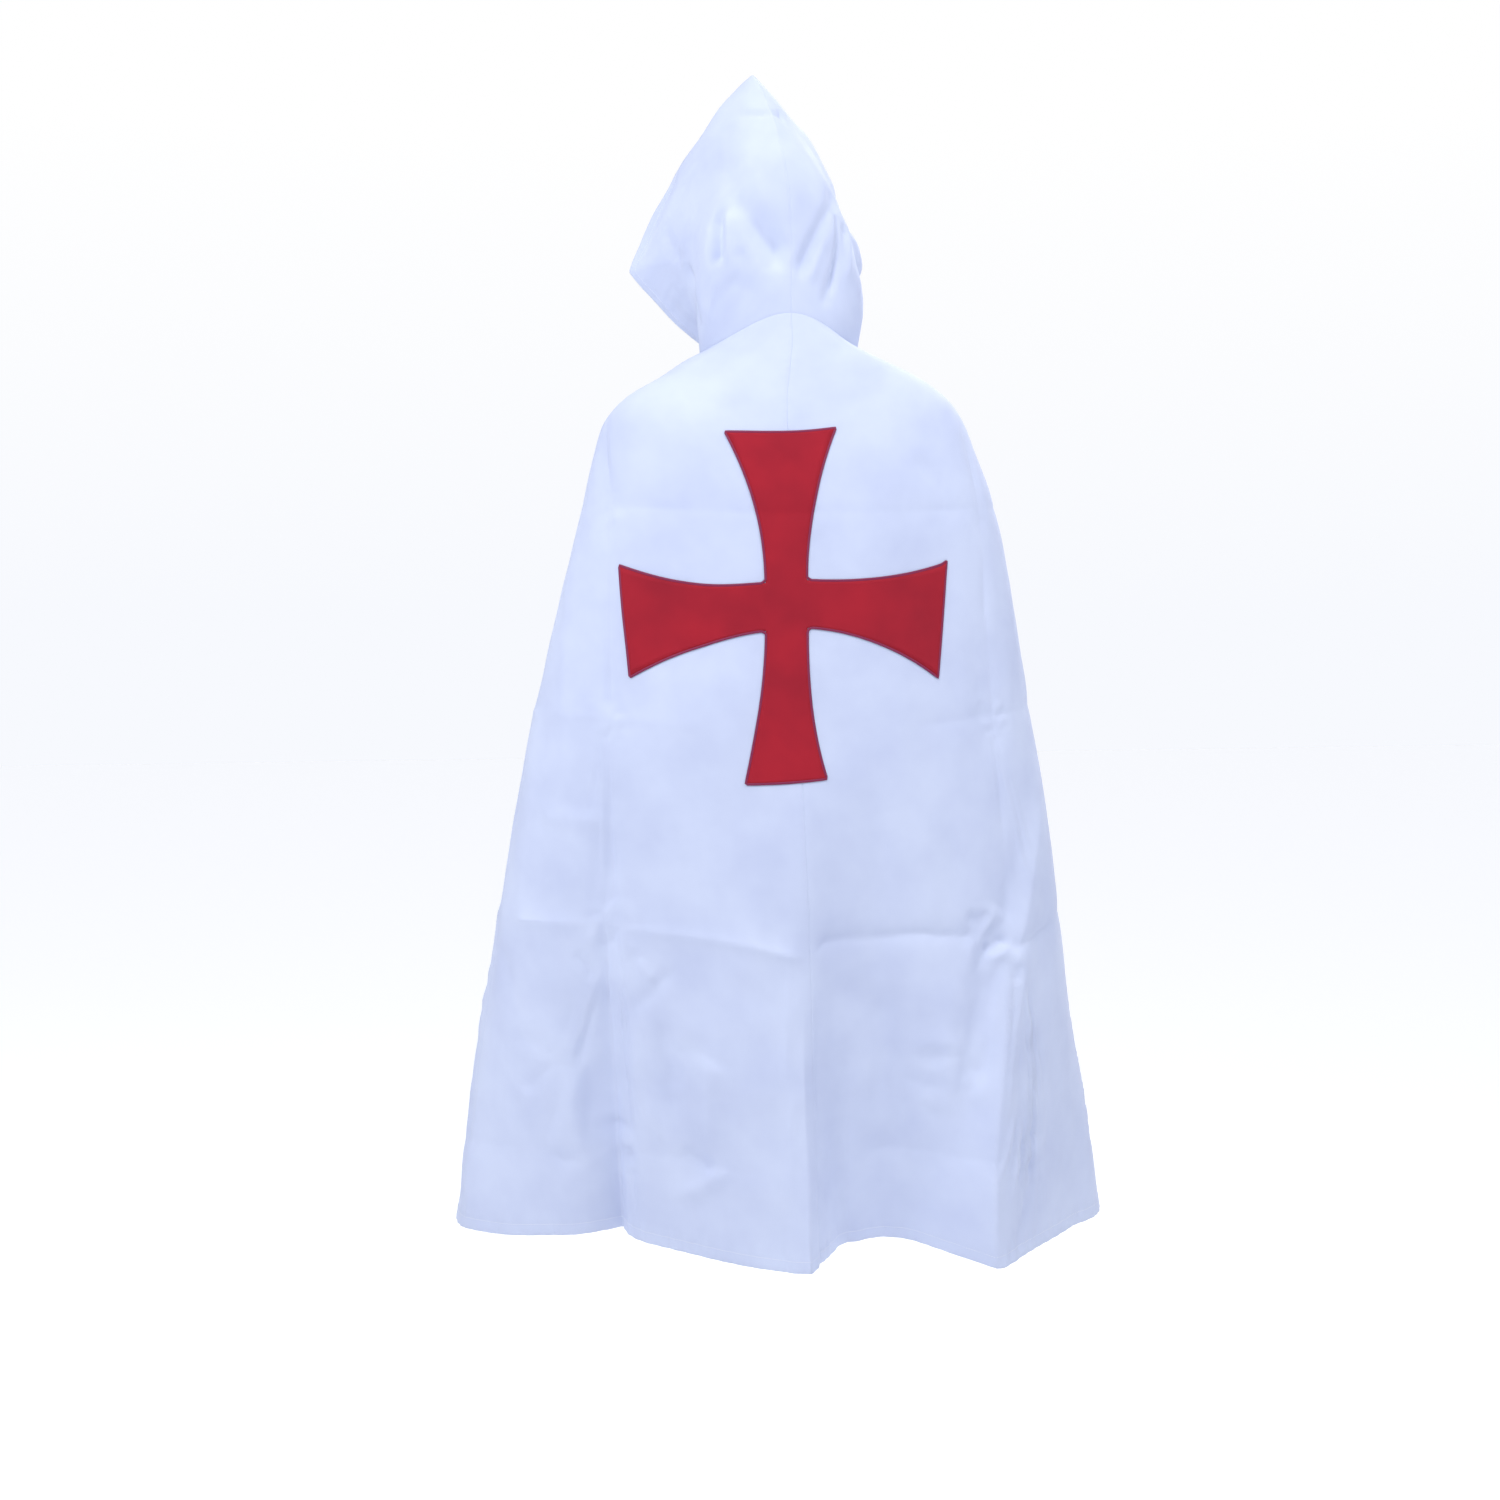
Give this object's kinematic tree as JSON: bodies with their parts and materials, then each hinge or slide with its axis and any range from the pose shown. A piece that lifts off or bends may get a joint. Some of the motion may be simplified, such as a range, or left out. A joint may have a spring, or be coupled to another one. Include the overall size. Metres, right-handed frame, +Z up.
{
  "type": "hooded cape",
  "caption": "Long white cotton cape with a pointed hood, flared and hanging in folds as worn, with a red flared-arm cross sewn on the back.",
  "frame": {"origin": "middle of the neck opening, level with the neck seam at the back, where the wearer's neck and shoulders hold the cape", "axes": "+Z up; -Y towards the back, which carries the cross; +Y towards the face opening and the front edges; +X towards the right half of the back as it is seen"},
  "size_m": [0.9059, 0.5538, 1.6281],
  "materials": {
    "white_cotton": "matt plain-woven cotton",
    "red_cotton": "matt plain-woven cotton",
    "button": "smooth"
  },
  "bodies": {
    "root": {"back_left": "white_cotton", "back_right": "white_cotton", "front_left": "white_cotton", "front_right": "white_cotton", "hood_left": "white_cotton", "hood_right": "white_cotton", "cross": "red_cotton", "neck_button": "button"}
  },
  "joints": []
}
